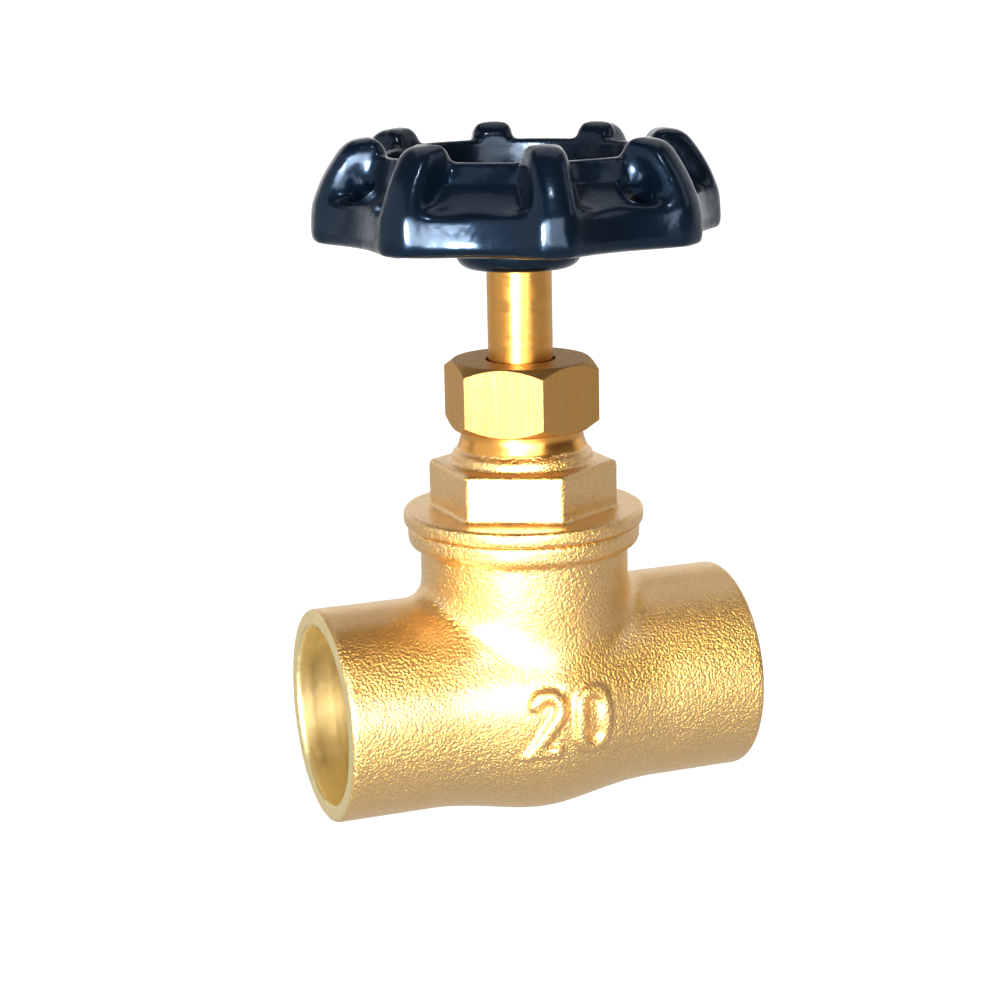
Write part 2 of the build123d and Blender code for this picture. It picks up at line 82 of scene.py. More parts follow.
# ---------------------------------------------------------------- mesh helpers
RELAX_IN = 0.5  # one smoothing step, as a share of the way to the neighbours' mean
RELAX_OUT = -0.52  # the step back that keeps the volume
FILL_STEP = 0.6
SHARPEN_ROUNDS = 60
WELD = 0.001 * MM
GRAIN_SHIFT = Vector((7.3, 3.1, 5.7))  # moves the noise from one seed to the next


def positions(mesh):
    """Vertex positions of a mesh as an n x 3 array."""
    flat = np.empty(len(mesh.vertices) * 3)
    mesh.vertices.foreach_get("co", flat)
    return flat.reshape(-1, 3)


def set_positions(mesh, places):
    mesh.vertices.foreach_set("co", places.ravel())
    mesh.update()


def normals(mesh):
    """Vertex normals of a mesh as an n x 3 array."""
    flat = np.empty(len(mesh.vertices) * 3)
    mesh.vertex_normals.foreach_get("vector", flat)
    return flat.reshape(-1, 3)


def dense_copy(node, name, voxel):
    """A new closed mesh of even quads over a CAD node, ready for sculpting in code."""
    mesh = nodes[node].data.copy()
    shell = bmesh.new()
    shell.from_mesh(mesh)
    bmesh.ops.remove_doubles(shell, verts=shell.verts, dist=WELD)
    shell.to_mesh(mesh)
    shell.free()
    piece = bpy.data.objects.new(name, mesh)
    bpy.context.scene.collection.objects.link(piece)
    remesh = piece.modifiers.new("even_quads", "REMESH")
    remesh.mode = "VOXEL"
    remesh.voxel_size = voxel
    evaluated = piece.evaluated_get(bpy.context.evaluated_depsgraph_get())
    piece.data = bpy.data.meshes.new_from_object(evaluated)
    piece.modifiers.clear()
    piece.data.materials.clear()
    for polygon in piece.data.polygons:
        polygon.use_smooth = True
    return piece


def neighbours(mesh):
    """Vertex pairs of a mesh's edges, and how many edges meet at each vertex."""
    flat = np.empty(len(mesh.edges) * 2, dtype=np.int64)
    mesh.edges.foreach_get("vertices", flat)
    pairs = flat.reshape(-1, 2)
    count = np.bincount(pairs.ravel(), minlength=len(mesh.vertices))
    return pairs, np.maximum(count, 1)[:, None]


def towards_neighbours(places, pairs, count):
    """The vector from each vertex to the mean of its neighbours."""
    total = np.stack([
        np.bincount(pairs[:, 0], places[pairs[:, 1], k], len(places))
        + np.bincount(pairs[:, 1], places[pairs[:, 0], k], len(places))
        for k in range(3)
    ], axis=1)
    return total / count - places


def relax(mesh, rounds, weight=1.0, keep_volume=True):
    """Smooths a mesh in place. weight is one number or one per vertex."""
    places = positions(mesh)
    pairs, count = neighbours(mesh)
    weight = np.broadcast_to(np.asarray(weight, float), (len(places),))[:, None]
    steps = (RELAX_IN, RELAX_OUT) if keep_volume else (RELAX_IN,)
    for _ in range(rounds):
        for step in steps:
            places = places + step * weight * towards_neighbours(places, pairs, count)
    set_positions(mesh, places)


def grain(places, size, seed):
    """Noise from -1 to 1 at each place, with bumps of about the given size."""
    return np.array([noise.noise(Vector(p / size) + seed * GRAIN_SHIFT) for p in places])


def fill(mesh, rounds, weight):
    """Grows fillets in concave corners: vertices relax, but only ever outwards."""
    pairs, count = neighbours(mesh)
    for _ in range(rounds):
        places = positions(mesh)
        outwards = normals(mesh)
        pull = (towards_neighbours(places, pairs, count) * outwards).sum(axis=1)
        set_positions(mesh, places + (FILL_STEP * weight * np.maximum(pull, 0))[:, None] * outwards)


def sharpen(mesh, weight):
    """Doubles fine relief, where weight is 1, by lifting what stands above the smoothed surface."""
    crisp = positions(mesh)
    relax(mesh, SHARPEN_ROUNDS, weight, keep_volume=False)
    soft = positions(mesh)
    outwards = normals(mesh)
    relief = ((crisp - soft) * outwards).sum(axis=1)
    set_positions(mesh, crisp + (weight * relief)[:, None] * outwards)


def push_out(mesh, amount):
    """Moves every vertex along its normal by its own amount."""
    set_positions(mesh, positions(mesh) + normals(mesh) * amount[:, None])


def slot_faces(mesh, chosen, index):
    """Gives material slot index to faces whose vertices are all chosen."""
    for polygon in mesh.polygons:
        if all(chosen[v] for v in polygon.vertices):
            polygon.material_index = index


# ---------------------------------------------------------------- node helpers
class Graph:
    """A small wrapper that builds a node tree."""

    def __init__(self, tree):
        self.tree = tree

    def add(self, kind, **settings):
        node = self.tree.nodes.new(kind)
        for key, value in settings.items():
            setattr(node, key, value)
        return node

    def link(self, source, target):
        self.tree.links.new(source, target)

    def put(self, target, value):
        if isinstance(value, bpy.types.NodeSocket):
            self.link(value, target)
        else:
            target.default_value = value

    def put_colour(self, target, value):
        self.put(target, value if isinstance(value, bpy.types.NodeSocket) else (*value, 1.0))

    def math(self, operation, first, second=0.0):
        node = self.add("ShaderNodeMath", operation=operation)
        self.put(node.inputs[0], first)
        self.put(node.inputs[1], second)
        return node.outputs[0]

    def distance(self, first, second):
        squares = [self.math("POWER", value, 2.0) for value in (first, second)]
        return self.math("SQRT", self.math("ADD", *squares))

    def spread(self, value, low, high, to_low=0.0, to_high=1.0, curve="LINEAR"):
        node = self.add("ShaderNodeMapRange", interpolation_type=curve)
        node.inputs["From Min"].default_value = low
        node.inputs["From Max"].default_value = high
        node.inputs["To Min"].default_value = to_low
        node.inputs["To Max"].default_value = to_high
        self.put(node.inputs["Value"], value)
        return node.outputs["Result"]

    def blend(self, factor, first, second):
        node = self.add("ShaderNodeMix", data_type="RGBA")
        self.put(node.inputs["Factor"], factor)
        first_end, second_end = [socket for socket in node.inputs if socket.type == "RGBA"]
        self.put_colour(first_end, first)
        self.put_colour(second_end, second)
        return [socket for socket in node.outputs if socket.type == "RGBA"][0]


class Surface(Graph):
    """One material's node tree, with its textures placed in the piece's own frame."""

    def __init__(self, name):
        self.material = bpy.data.materials.new(name)
        self.material.use_nodes = True
        super().__init__(self.material.node_tree)
        self.shader = self.tree.nodes["Principled BSDF"]
        self.place = self.add("ShaderNodeTexCoord").outputs["Object"]

    def scaled_place(self, size, stretch):
        mapping = self.add("ShaderNodeMapping")
        mapping.inputs["Scale"].default_value = [1 / (size * s) for s in stretch]
        self.link(self.place, mapping.inputs["Vector"])
        return mapping.outputs["Vector"]

    def noise(self, size, detail=2.0, roughness=0.5, stretch=(1, 1, 1)):
        """Noise with features of about size metres, stretched along the axes."""
        texture = self.add("ShaderNodeTexNoise")
        texture.inputs["Scale"].default_value = 1.0
        texture.inputs["Detail"].default_value = detail
        texture.inputs["Roughness"].default_value = roughness
        self.link(self.scaled_place(size, stretch), texture.inputs["Vector"])
        return texture.outputs["Fac"]

    def bands(self, along, size, detail=2.0):
        """Noise that changes only with the coordinate along, every size metres or so."""
        texture = self.add("ShaderNodeTexNoise", noise_dimensions="1D")
        texture.inputs["Scale"].default_value = 1.0
        texture.inputs["Detail"].default_value = detail
        self.link(self.math("MULTIPLY", along, 1 / size), texture.inputs["W"])
        return texture.outputs["Fac"]

    def pebbles(self, size, smoothness):
        """Distance from the middles of smooth cells of about size metres."""
        texture = self.add("ShaderNodeTexVoronoi", feature="SMOOTH_F1")
        texture.inputs["Scale"].default_value = 1.0
        texture.inputs["Smoothness"].default_value = smoothness
        self.link(self.scaled_place(size, (1, 1, 1)), texture.inputs["Vector"])
        return texture.outputs["Distance"]

    def bump(self, height, depth, strength=1.0, after=None):
        node = self.add("ShaderNodeBump")
        node.inputs["Strength"].default_value = strength
        node.inputs["Distance"].default_value = depth
        self.put(node.inputs["Height"], height)
        if after is not None:
            self.link(after, node.inputs["Normal"])
        return node.outputs["Normal"]

    def rounded(self, radius):
        """A normal that makes sharp edges look rounded."""
        node = self.add("ShaderNodeBevel", samples=4)
        node.inputs["Radius"].default_value = radius
        return node.outputs["Normal"]

    def axis(self, letter):
        node = self.add("ShaderNodeSeparateXYZ")
        self.link(self.place, node.inputs[0])
        return node.outputs[letter]

    def finish(self, colour, roughness, normal, **others):
        self.put_colour(self.shader.inputs["Base Color"], colour)
        self.put(self.shader.inputs["Roughness"], roughness)
        self.link(normal, self.shader.inputs["Normal"])
        for key, value in others.items():
            self.put(self.shader.inputs[key.replace("_", " ")], value)
        return self.material


# ---------------------------------------------------------------- materials
CREST_GOLD = ((0.92, 0.63, 0.21), (0.90, 0.60, 0.18))
# painted shade: the darker, browner gold put into the hollows of the cast grain
GRAIN_SHADE_GOLD = (0.80, 0.48, 0.13)
LATHE_GOLD = (0.84, 0.50, 0.16)
BORE_GOLD = (0.90, 0.81, 0.54)
RING_TINT = (0.93, 0.86, 0.72)
NUT_GOLD = ((0.64, 0.42, 0.18), (0.54, 0.34, 0.13))
NAVY = ((0.002, 0.008, 0.017), (0.004, 0.012, 0.025))
NAVY_SHINE = (0.35, 0.62, 1.0, 1.0)
STEEL_GREY = (0.62, 0.63, 0.65)
ALUMINIUM_GREY = (0.80, 0.80, 0.82)
PACKING_WHITE = (0.80, 0.80, 0.76)
FIBRE_RED = (0.30, 0.11, 0.07)
NOISE_RANGE = (0.3, 0.7)  # where most values of a noise lie
GRAIN_SHADE_RANGE = (0.60, 0.36)  # fine grain above the first is crest, below the second is hollow and takes the painted shade
SPOT_RANGE = (0.5, 0.8)
CELL_SHARE = -0.8  # cells stand highest in their middles
CROSS_SHARE = 0.6
ENAMEL_ROUGH = 0.27
SOFT_ROUGH = 0.75


def darker(colour, share):
    return tuple(part * share for part in colour)


def cast_brass():
    """Bead-blasted casting: fine sparkling grain, golden on the crests and browner in the hollows, where
    the brown is painted shade.
    """
    s = Surface("cast_brass")
    cells = s.pebbles(size=0.38 * MM, smoothness=0.45)
    fine = s.noise(size=0.26 * MM, detail=3.0, roughness=0.6)
    height = s.math("ADD", s.math("MULTIPLY", cells, CELL_SHARE), fine)
    patches = s.noise(size=7 * MM)
    golden = s.blend(patches, *CREST_GOLD)
    # painted shade: where the fine grain is low, its hollows are coloured the darker gold
    colour = s.blend(s.spread(fine, *GRAIN_SHADE_RANGE), golden, GRAIN_SHADE_GOLD)
    rough = s.spread(patches, *NOISE_RANGE, to_low=0.32, to_high=0.38)
    normal = s.bump(height, depth=0.16 * MM)
    coat = {"Coat_Weight": 1.0, "Coat_Roughness": 0.33, "Coat_IOR": 2.8}
    return s.finish(colour, rough, normal, Metallic=1.0, **coat)


def turned_brass(name, ring_direction, colour, rough):
    """Lathe-turned brass. ring_direction gives the coordinate that steps from one tool mark to the next."""
    s = Surface(name)
    step = ring_direction(s)
    marks = s.bands(step, size=0.12 * MM, detail=4.0)
    rings = s.bands(step, size=1.6 * MM)
    spots = s.noise(size=1.8 * MM, detail=4.0)
    tint = s.blend(rings, colour, tuple(part * share for part, share in zip(colour, RING_TINT)))
    ringed = s.spread(rings, *NOISE_RANGE, to_low=rough, to_high=rough + 0.14)
    dull = s.math("ADD", ringed, s.spread(spots, *SPOT_RANGE, to_low=0.0, to_high=0.10))
    normal = s.bump(marks, depth=0.012 * MM, strength=0.8, after=s.rounded(0.12 * MM))
    coat = {"Coat_Weight": 0.4, "Coat_Roughness": rough, "Coat_IOR": 1.8}
    return s.finish(tint, dull, normal, Metallic=1.0, **coat)


def along_run(s):
    """Steps along X and outwards from the run's axis, so that bores and end faces both show rings."""
    return s.math("ADD", s.math("ABSOLUTE", s.axis("X")), s.distance(s.axis("Y"), s.axis("Z")))


def along_stem(s):
    """The same along Z and outwards from the stem's axis."""
    return s.math("ADD", s.axis("Z"), s.distance(s.axis("X"), s.axis("Y")))


def milled_brass():
    """Packing nut: faces brushed up and down, with fine cross marks."""
    s = Surface("milled_brass")
    upright = s.noise(size=0.14 * MM, detail=3.0, roughness=0.7, stretch=(1, 1, 40))
    cross = s.noise(size=0.10 * MM, stretch=(30, 30, 1))
    streaks = s.noise(size=0.5 * MM, stretch=(1, 1, 20))
    height = s.math("ADD", upright, s.math("MULTIPLY", cross, CROSS_SHARE))
    rough = s.spread(streaks, *NOISE_RANGE, to_low=0.50, to_high=0.58)
    normal = s.bump(height, depth=0.05 * MM, strength=0.9, after=s.rounded(0.15 * MM))
    coat = {"Coat_Weight": 0.2, "Coat_Roughness": 0.35, "Coat_IOR": 1.8}
    return s.finish(s.blend(streaks, *NUT_GOLD), rough, normal, Metallic=1.0, **coat)


def navy_enamel():
    """Thick glossy stove enamel with a slight ripple."""
    s = Surface("navy_enamel")
    colour = s.blend(s.noise(size=5 * MM), *NAVY)
    normal = s.bump(s.noise(size=2.6 * MM), depth=0.20 * MM, strength=0.5)
    coat = {"Coat_Weight": 1.0, "Coat_Roughness": 0.17, "Coat_IOR": 1.4, "Coat_Normal": normal}
    shine = {"Specular_IOR_Level": 0.5, "Specular_Tint": NAVY_SHINE}
    return s.finish(colour, ENAMEL_ROUGH, normal, **coat, **shine)


def plain_metal(name, colour, roughness, size):
    """Finely scratched bright metal."""
    s = Surface(name)
    scratches = s.noise(size, detail=4.0, roughness=0.7, stretch=(1, 6, 1))
    tint = s.blend(scratches, colour, darker(colour, share=0.8))
    rough = s.spread(scratches, *NOISE_RANGE, to_low=roughness, to_high=roughness + 0.12)
    normal = s.bump(scratches, depth=0.01 * MM, strength=0.6, after=s.rounded(0.1 * MM))
    return s.finish(tint, rough, normal, Metallic=1.0)


def soft_solid(name, colour, size):
    """Packing and gasket: matt, fibrous."""
    s = Surface(name)
    fibres = s.noise(size, detail=5.0, roughness=0.7, stretch=(3, 3, 1))
    normal = s.bump(fibres, depth=0.05 * MM, strength=0.7)
    return s.finish(s.blend(fibres, colour, darker(colour, share=0.7)), SOFT_ROUGH, normal)


CAST = cast_brass()
BORE = turned_brass("bored_brass", along_run, BORE_GOLD, rough=0.38)
TURNED = turned_brass("turned_brass", along_stem, LATHE_GOLD, rough=0.22)
MILLED = milled_brass()
ENAMEL = navy_enamel()
STEEL = plain_metal("plated_steel", STEEL_GREY, roughness=0.25, size=0.3 * MM)
ALUMINIUM = plain_metal("satin_aluminium", ALUMINIUM_GREY, roughness=0.35, size=0.2 * MM)
PACKING = soft_solid("white_packing", PACKING_WHITE, size=0.3 * MM)
FIBRE = soft_solid("gasket_fibre", FIBRE_RED, size=0.3 * MM)


# ---------------------------------------------------------------- castings
VOXEL_ROUNDS = 4  # smoothing that takes the voxels' steps away
COARSE_SKIN = (1.4 * MM, 0.018 * MM)  # bump size and height of the cast skin
FINE_SKIN = (0.7 * MM, 0.012 * MM)


def cast_skin(mesh, mask):
    """Sand-cast unevenness, full where mask is 1 and none where it is 0."""
    places = positions(mesh)
    coarse = COARSE_SKIN[1] * grain(places, COARSE_SKIN[0], 1)
    fine = FINE_SKIN[1] * grain(places, FINE_SKIN[0], 2)
    push_out(mesh, (coarse + fine) * mask)


# ---------------------------------------------------------------- body
BODY_VOXEL = 0.33 * MM
BELLY_R = 15.1 * MM
NECK_R = 13.0 * MM
BLEND_REACH = 6.0 * MM  # how far the blend reaches above and below the crease
BLEND_GAIN = 1.3  # above 1, so that the blend is full for a stretch around the crease
BLEND_ROUNDS = 160
BLEND_START_R = NECK_R - 0.8 * MM
MARK_HALF_WIDTH = 6.0 * MM
MARK_HALF_HEIGHT = 4.8 * MM
MARK_MARGIN = 1.5 * MM
MARK_SKIN = 0.3  # share of the cast skin that the raised mark gets
RUN_SKIN_R = 12.5 * MM  # within the run's wall
BORED_R = 11.6 * MM  # nearer to the run's axis there are only bored surfaces
SOCKET_START = 10.0 * MM
SOCKET_SLACK = 0.25 * MM
SOCKET_MOUTH = 0.35 * MM
END_DEPTH = 0.3 * MM
END_R = 13.1 * MM
END_FLAT_LOW = bore_r + 0.1 * MM
END_FLAT_HIGH = 12.95 * MM
CHAMBER_R = 12.4 * MM
THREAD_R = 12.2 * MM
THREAD_BOTTOM = 12.5 * MM
RECESS_R = 14.0 * MM
RECESS_BOTTOM = 21.5 * MM


def away_from_mark(x, y, z):
    """0 on the raised mark at the front, rising to 1 around it and everywhere at the back."""
    beside = (x - MARK_HALF_WIDTH) / MARK_MARGIN
    above = (np.abs(z) - MARK_HALF_HEIGHT) / MARK_MARGIN
    away = np.clip(np.maximum(beside, above), 0, 1)
    away[y > 0] = 1.0
    return away


def neck_blend(x, y, z, from_run, from_stem):
    """How much the crease between neck and belly softens: most at the front and back, 0 at the sides."""
    crease_z = np.sqrt(np.maximum(BELLY_R**2 - NECK_R**2 + x**2, 0))
    near = np.clip(BLEND_GAIN - BLEND_GAIN * np.abs(z - crease_z) / BLEND_REACH, 0, 1)
    outside = (from_stem > BLEND_START_R) & (from_run > RUN_SKIN_R)
    facing_front = (y / np.maximum(from_stem, TINY)) ** 2
    return near * outside * facing_front


def true_sockets(mesh, x, from_run, socket, end_face):
    """Puts the smoothed socket walls and end faces back on their own radius and plane."""
    places = positions(mesh)
    wall = socket & (from_run > bore_r - SOCKET_SLACK) & (x < half_run - SOCKET_MOUTH)
    scale = np.where(wall, bore_r / np.maximum(from_run, TINY), 1.0)
    places[:, 1:] *= scale[:, None]
    flat = end_face & (from_run > END_FLAT_LOW) & (from_run < END_FLAT_HIGH)
    places[flat, 0] = np.sign(places[flat, 0]) * half_run
    set_positions(mesh, places)


def make_body():
    piece = dense_copy("body", "body_casting", BODY_VOXEL)
    mesh = piece.data
    relax(mesh, VOXEL_ROUNDS)
    places = positions(mesh)
    x, y, z = np.abs(places[:, 0]), places[:, 1], places[:, 2]
    from_run = np.hypot(y, z)
    from_stem = np.hypot(x, y)
    off_mark = away_from_mark(x, y, z)
    blend = neck_blend(x, y, z, from_run, from_stem)
    sharpen(mesh, 1 - off_mark)
    relax(mesh, BLEND_ROUNDS, blend * off_mark, keep_volume=False)
    socket = (from_run < bore_r + SOCKET_SLACK) & (x > SOCKET_START)
    end_face = (x > half_run - END_DEPTH) & (from_run < END_R)
    true_sockets(mesh, x, from_run, socket, end_face)
    bored = from_run < BORED_R
    chamber = (from_stem < CHAMBER_R) & (z > 0) & (from_run < RUN_SKIN_R)
    thread = (from_stem < THREAD_R) & (z > THREAD_BOTTOM)
    recess = (from_stem < RECESS_R) & (z > RECESS_BOTTOM)
    cast = 1.0 - (socket | end_face | bored | chamber | thread | recess)
    cast_skin(mesh, cast * (MARK_SKIN + (1 - MARK_SKIN) * off_mark))
    mesh.materials.append(CAST)
    mesh.materials.append(BORE)
    slot_faces(mesh, socket | end_face | bored, 1)
    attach(piece, "valve_body")
    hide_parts("body")


# ---------------------------------------------------------------- bonnet
BONNET_VOXEL = 0.28 * MM
SHOULDER_TOP = 31.6 * MM
STUFFING_BOX_R = 7.5 * MM


def make_bonnet():
    piece = dense_copy("bonnet", "bonnet_casting", BONNET_VOXEL)
    mesh = piece.data
    relax(mesh, VOXEL_ROUNDS)
    places = positions(mesh)
    z = places[:, 2]
    radius = np.hypot(places[:, 0], places[:, 1])
    machined = (z > SHOULDER_TOP) | (z < body_high[2]) | (radius < STUFFING_BOX_R)
    cast_skin(mesh, 1.0 - machined)
    mesh.materials.append(CAST)
    mesh.materials.append(TURNED)
    slot_faces(mesh, machined, 1)
    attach(piece, "valve_body")
    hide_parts("bonnet")


# ---------------------------------------------------------------- handwheel
WHEEL_VOXEL = 0.33 * MM
LEDGE_Z = 62.9 * MM
SKIRT_Z = 57.7 * MM
CROWN_Z = 65.5 * MM
CROWN_R = 21.0 * MM
POCKET_R = 19.7 * MM  # the pocket walls lie outside this
OUTWARD = 0.4  # least outward part of a normal that counts as facing out
FLARE = 1.1 * MM
FLARE_END_R = 25.3 * MM
FLARE_FADE = 2.5 * MM
BOWL_R = 20.8 * MM  # the hollow underneath
BOWL_TOP = 62.0 * MM
DISH_R = 17.0 * MM  # the hub and the dish around it
DISH_TOP = 66.0 * MM
OPEN_R = 15.9 * MM
RIM_KEEP = 0.4 * MM  # strip along the skirt's lower edge that no fillet reaches
LEDGE_KEEP = 0.3 * MM
WINDOWS = (-156, -91, 24, 89)  # azimuths
WINDOW_R = 19.6 * MM
WINDOW_Z = 64.2 * MM
WINDOW_KEEP = 1.9 * MM
ALL_ROUNDS = 40
SKIRT_ROUNDS = 80
CROWN_ROUNDS = 90
LOBE_AZIMUTH = 169
LOBE_PITCH = 45
LOBE_HEART_R = 20.0 * MM  # a point inside each lobe, from which its skin faces away
LOBE_HEART_Z = 61.0 * MM
SHELL_R = 18.0 * MM
LOBE_CORE = 1.6 * MM
LOBE_HALF_WIDTH = 3.8 * MM
LOBE_FADE = 0.8 * MM
LOBE_ROUNDS = 40
VALLEY_ROUNDS = 22
VALLEY_KEEP = 0.8 * MM
BAND_TOP = LEDGE_Z - 0.2 * MM
LAST_ROUNDS = 8
STRETCH_R = 19.0 * MM
STRETCH_FADE = 5.0 * MM
LIFT_Z = 66.0 * MM
LIFT_FADE = 3.5 * MM


def radius_part(places, facing, radius):
    """How far each normal points away from the stem's axis."""
    return (facing[:, 0] * places[:, 0] + facing[:, 1] * places[:, 1]) / np.maximum(radius, TINY)


def flare_pockets(mesh, places, facing, radius):
    """Below the ledge the pockets between the lobes widen downwards like a cove."""
    outer = (radius > POCKET_R) & (radius_part(places, facing, radius) > OUTWARD)
    drop = np.clip((LEDGE_Z - places[:, 2]) / (LEDGE_Z - SKIRT_Z), 0, 1)
    fade = np.clip((FLARE_END_R - radius) / FLARE_FADE, 0, 1)
    flare = FLARE * drop**2 * fade * outer
    places[:, :2] *= (1 + flare / np.maximum(radius, TINY))[:, None]
    set_positions(mesh, places)


def fill_corners(mesh, places, radius, inside):
    """Fillets in the outer corners, broader below the ledge and at the crown, none at the windows."""
    z = places[:, 2]
    open_air = (radius > OPEN_R) & (z > SKIRT_Z + RIM_KEEP)
    for azimuth in WINDOWS:
        a = math.radians(azimuth)
        centre = np.array([math.sin(a) * WINDOW_R, -math.cos(a) * WINDOW_R, WINDOW_Z])
        open_air &= np.linalg.norm(places - centre, axis=1) > WINDOW_KEEP
    outside = open_air & ~inside
    fill(mesh, ALL_ROUNDS, outside)
    fill(mesh, SKIRT_ROUNDS, outside * (z < LEDGE_Z - LEDGE_KEEP))
    fill(mesh, CROWN_ROUNDS, outside * (z > CROWN_Z) * (radius < CROWN_R))


def round_lobes(mesh, places, facing, radius, inside):
    """Rounds the outer shell, lobes and skirt most; returns which vertices belong to it."""
    z = places[:, 2]
    bearing = np.degrees(np.arctan2(places[:, 0], -places[:, 1]))
    turn = np.radians((bearing - LOBE_AZIMUTH + LOBE_PITCH / 2) % LOBE_PITCH - LOBE_PITCH / 2)
    aside = np.abs(radius * np.sin(turn))
    across = radius_part(places, facing, radius) * (radius - LOBE_HEART_R)
    outwards = across + facing[:, 2] * (z - LOBE_HEART_Z)
    shell = (radius > SHELL_R) & ~inside & ((outwards > 0) | (aside > LOBE_CORE))
    on_lobe = np.clip((LOBE_HALF_WIDTH - aside) / LOBE_FADE, 0, 1)
    band = np.clip((BAND_TOP - z) / LOBE_FADE, 0, 1)
    most = np.maximum(on_lobe, band)
    relax(mesh, LOBE_ROUNDS, shell * most, keep_volume=False)
    relax(mesh, VALLEY_ROUNDS, (shell & (z > SKIRT_Z + VALLEY_KEEP)) * (1 - most), keep_volume=False)
    relax(mesh, LAST_ROUNDS)
    return shell


def restore_outline(mesh, shell):
    """Stretches the smoothed lobes back to the wheel's own radius and height."""
    places = positions(mesh)
    radius = np.hypot(places[:, 0], places[:, 1])
    share = np.clip((radius - STRETCH_R) / STRETCH_FADE, 0, 1) * shell
    grow = 1 + share * (wheel_high[0] - radius[shell].max()) / np.maximum(radius, TINY)
    places[:, :2] *= grow[:, None]
    lift = np.clip((places[:, 2] - LIFT_Z) / LIFT_FADE, 0, 1) * shell
    places[:, 2] += lift * (wheel_high[2] - places[shell, 2].max())
    set_positions(mesh, places)


def make_handwheel():
    piece = dense_copy("handwheel", "handwheel_casting", WHEEL_VOXEL)
    mesh = piece.data
    relax(mesh, VOXEL_ROUNDS)
    places = positions(mesh)
    facing = normals(mesh)
    z = places[:, 2]
    radius = np.hypot(places[:, 0], places[:, 1])
    inside = (radius < BOWL_R) & (z < BOWL_TOP) | (radius < DISH_R) & (z < DISH_TOP)
    flare_pockets(mesh, places, facing, radius)
    fill_corners(mesh, places, radius, inside)
    shell = round_lobes(mesh, places, facing, radius, inside)
    restore_outline(mesh, shell)
    mesh.materials.append(ENAMEL)
    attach(piece, "stem_and_wheel")
    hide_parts("handwheel")


# ---------------------------------------------------------------- all pieces
FINISHES = {
    "bonnet_gasket": FIBRE,
    "packing_nut": MILLED,
    "identification_plate": ALUMINIUM,
    "wheel_lock_washer": STEEL,
    "handwheel_nut": STEEL,
    "packing_ring_lower": PACKING,
    "packing_ring_middle": PACKING,
    "packing_ring_upper": PACKING,
}

make_body()
make_bonnet()
make_handwheel()
for name, node in nodes.items():
    node.data.materials.clear()
    node.data.materials.append(FINISHES.get(name, TURNED))


# ---------------------------------------------------------------- floor and room
FLOOR_HALF = 1.2
PAPER_WHITE = ((0.95, 0.96, 0.97), (1.0, 1.0, 1.0))
PAPER_CLOUDS = 0.05
PAPER_GLOW = 0.66
SEEN_WHITE = 1.1  # brightness of paper and room to the camera itself
ROOM = (0.18, 0.15, 0.12)
BACKDROP = (1.0, 1.0, 1.0)
BACKDROP_EDGE = (0.15, 0.55)
BACKDROP_TOP = (0.35, 0.75)
AZIMUTH = -20.44  # of the camera, which the backdrop faces


def directions(azimuth, elevation):
    """Unit vectors right, up and back of a camera or light that looks at the origin."""
    a, e = math.radians(azimuth), math.radians(elevation)
    back = Vector((math.sin(a) * math.cos(e), -math.cos(a) * math.cos(e), math.sin(e)))
    right = Vector((math.cos(a), math.sin(a), 0))
    return right, back.cross(right), back


def white_paper():
    """Overexposed white paper: pure white to the camera, softly bright to everything it lights."""
    s = Surface("white_paper")
    glow = s.add("ShaderNodeEmission")
    s.link(s.blend(s.noise(PAPER_CLOUDS), *PAPER_WHITE), glow.inputs["Color"])
    seen = s.add("ShaderNodeLightPath").outputs["Is Camera Ray"]
    strength = s.spread(seen, 0.0, 1.0, to_low=PAPER_GLOW, to_high=SEEN_WHITE)
    s.link(strength, glow.inputs["Strength"])
    s.link(glow.outputs[0], s.tree.nodes["Material Output"].inputs["Surface"])
    return s.material


def floor():
    low = cad_box[0][2]
    signs = ((-1, -1), (1, -1), (1, 1), (-1, 1))
    mesh = bpy.data.meshes.new("floor")
    mesh.from_pydata([(sx * FLOOR_HALF, sy * FLOOR_HALF, low) for sx, sy in signs], [], [(0, 1, 2, 3)])
    mesh.materials.append(white_paper())
    plane = bpy.data.objects.new("floor", mesh)
    bpy.context.scene.collection.objects.link(plane)


def world():
    """Dark room with a bright white backdrop behind the valve, and even white to the camera."""
    studio = bpy.data.worlds.new("studio")
    bpy.context.scene.world = studio
    studio.use_nodes = True
    g = Graph(studio.node_tree)
    direction = g.add("ShaderNodeTexCoord").outputs["Generated"]
    height = g.add("ShaderNodeSeparateXYZ")
    g.link(direction, height.inputs[0])
    behind = g.add("ShaderNodeVectorMath", operation="DOT_PRODUCT")
    g.link(direction, behind.inputs[0])
    behind.inputs[1].default_value = -directions(AZIMUTH, 0)[2]
    wide = g.spread(behind.outputs["Value"], *BACKDROP_EDGE, curve="SMOOTHSTEP")
    tall = g.spread(height.outputs["Z"], *BACKDROP_TOP, to_low=1.0, to_high=0.0, curve="SMOOTHSTEP")
    lit = g.tree.nodes["Background"]
    g.link(g.blend(g.math("MULTIPLY", wide, tall), ROOM, BACKDROP), lit.inputs["Color"])
    seen = g.add("ShaderNodeBackground")
    seen.inputs["Color"].default_value = (SEEN_WHITE, SEEN_WHITE, SEEN_WHITE, 1)
    mix = g.add("ShaderNodeMixShader")
    g.link(g.add("ShaderNodeLightPath").outputs["Is Camera Ray"], mix.inputs[0])
    g.link(lit.outputs[0], mix.inputs[1])
    g.link(seen.outputs[0], mix.inputs[2])
    g.link(mix.outputs[0], g.tree.nodes["World Output"].inputs["Surface"])


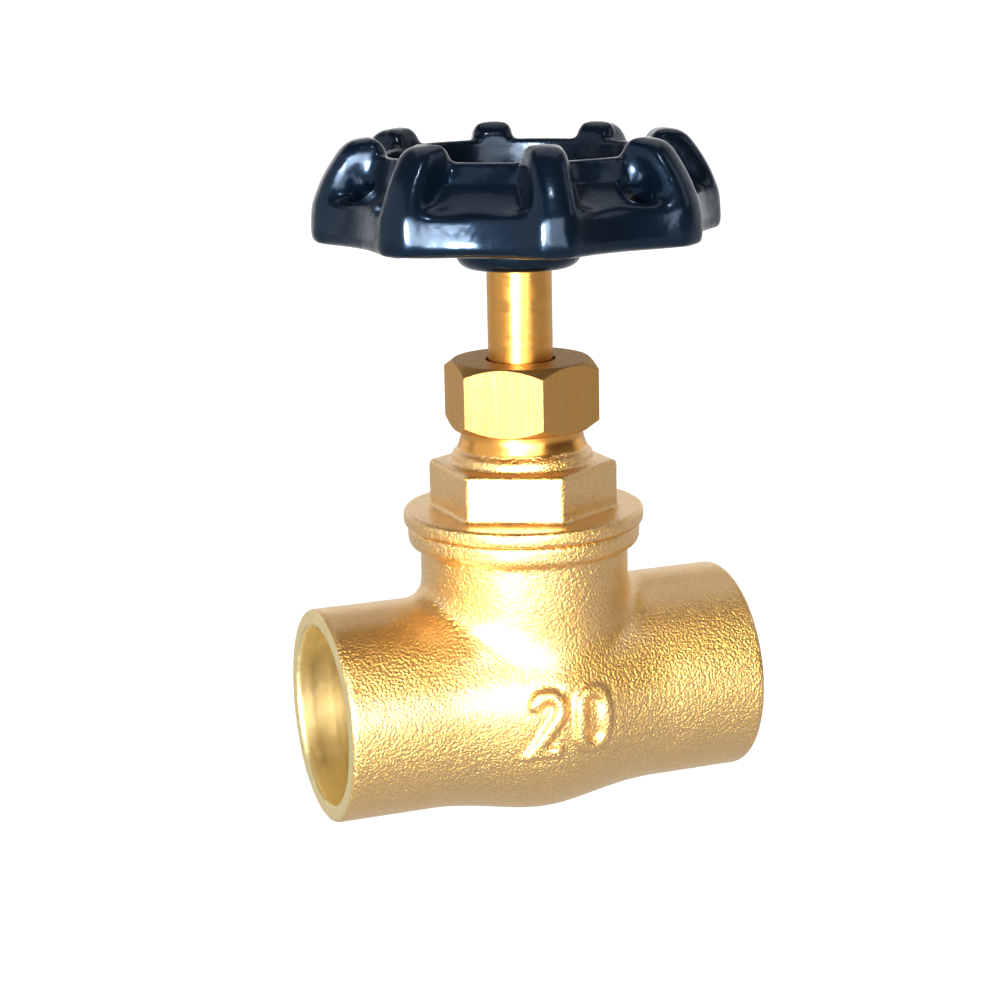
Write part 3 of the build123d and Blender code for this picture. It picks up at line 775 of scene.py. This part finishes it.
# ---------------------------------------------------------------- lamps and camera
ELEVATION = 13.45
DISTANCE = 0.298
ROLL = -1.19
LENS = 84.1
AIM_RIGHT = -0.0029
AIM_UP = 0.0240
LAMP_AIM = Vector((0, 0, 0.025))  # near the middle of the valve
SENSOR = 36.0
NEAREST = 0.01
GAMMA = 0.72
EXPOSURE = 0.05
WARM = (1.0, 1.0, 0.98)
NEUTRAL = (1.0, 1.0, 1.0)
COOL = (0.92, 0.96, 1.0)
SKY = (0.90, 0.95, 1.0)
CEILING = (0.97, 0.98, 1.0)


def lamp(name, azimuth, elevation, distance, size, power, colour):
    """A rectangular lamp of size (width, height) metres that shines at the valve."""
    back = directions(azimuth, elevation)[2]
    data = bpy.data.lights.new(name, "AREA")
    data.shape = "RECTANGLE"
    data.size, data.size_y = size
    data.energy = power
    data.color = colour
    light = bpy.data.objects.new(name, data)
    light.location = back * distance + LAMP_AIM
    light.rotation_mode = "QUATERNION"
    light.rotation_quaternion = back.to_track_quat("Z", "Y")
    bpy.context.scene.collection.objects.link(light)


def camera():
    right, up, back = directions(AZIMUTH, ELEVATION)
    data = bpy.data.cameras.new("camera")
    data.lens = LENS
    data.sensor_width = SENSOR
    data.clip_start = NEAREST
    view = bpy.data.objects.new("camera", data)
    view.location = right * AIM_RIGHT + up * AIM_UP + back * DISTANCE
    view.rotation_mode = "QUATERNION"
    roll = math.radians(ROLL)
    level = right * math.cos(roll) + up * math.sin(roll)
    turn = Matrix((level, back.cross(level), back)).transposed()
    view.rotation_quaternion = turn.to_quaternion()
    bpy.context.scene.collection.objects.link(view)
    bpy.context.scene.camera = view


def tone():
    settings = bpy.context.scene.view_settings
    settings.view_transform = "Standard"
    settings.gamma = GAMMA
    settings.exposure = EXPOSURE


floor()
world()
lamp("wide_key", azimuth=-12, elevation=8, distance=0.6, size=(0.60, 0.34), power=2.8, colour=WARM)
lamp("middle_key", azimuth=-28, elevation=9, distance=0.6, size=(0.30, 0.20), power=1.7, colour=WARM)
lamp("small_key", azimuth=-38, elevation=5, distance=0.6, size=(0.14, 0.12), power=3.9, colour=WARM)
lamp("bulb", azimuth=-6, elevation=48, distance=0.6, size=(0.02, 0.02), power=0.40, colour=NEUTRAL)
lamp("left_panel", azimuth=-85, elevation=14, distance=0.8, size=(1.2, 0.9), power=2.8, colour=COOL)
lamp("right_window", azimuth=65, elevation=35, distance=0.8, size=(0.3, 0.4), power=0.4, colour=SKY)
lamp("ceiling", azimuth=150, elevation=68, distance=0.9, size=(0.8, 0.8), power=1.6, colour=CEILING)
camera()
tone()
